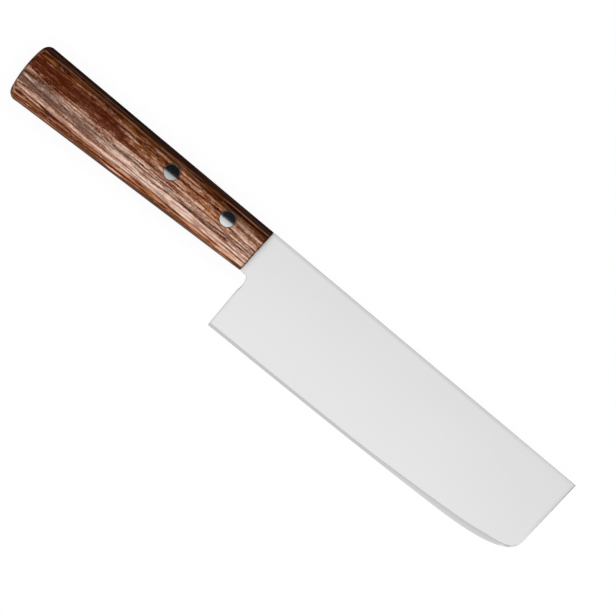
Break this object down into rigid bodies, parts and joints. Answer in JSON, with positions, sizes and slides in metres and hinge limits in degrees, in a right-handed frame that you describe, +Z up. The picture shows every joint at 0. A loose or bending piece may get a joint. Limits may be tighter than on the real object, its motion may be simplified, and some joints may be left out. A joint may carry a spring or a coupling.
{
  "type": "usuba knife",
  "caption": "Vegetable knife with a straight spine, a tall thin blade ground on both sides and a blunt rounded tip, its half tang riveted into a laminated wood handle.",
  "frame": {"origin": "bottom centre of the knife's box, as it lies on its left flank", "axes": "+X from the butt to the tip, +Y from the edge to the spine, +Z up, out of the right flank"},
  "size_m": [0.2956, 0.0484, 0.0175],
  "materials": {
    "blade_steel": "fine satin grind",
    "laminated_wood": "resin-filled veneers, buffed",
    "rivet_steel": "polished stainless steel"
  },
  "bodies": {
    "root": {"blade": "blade_steel", "handle": "laminated_wood", "front_rivet_sleeve": "rivet_steel", "front_rivet_post": "rivet_steel", "rear_rivet_sleeve": "rivet_steel", "rear_rivet_post": "rivet_steel"}
  },
  "joints": []
}
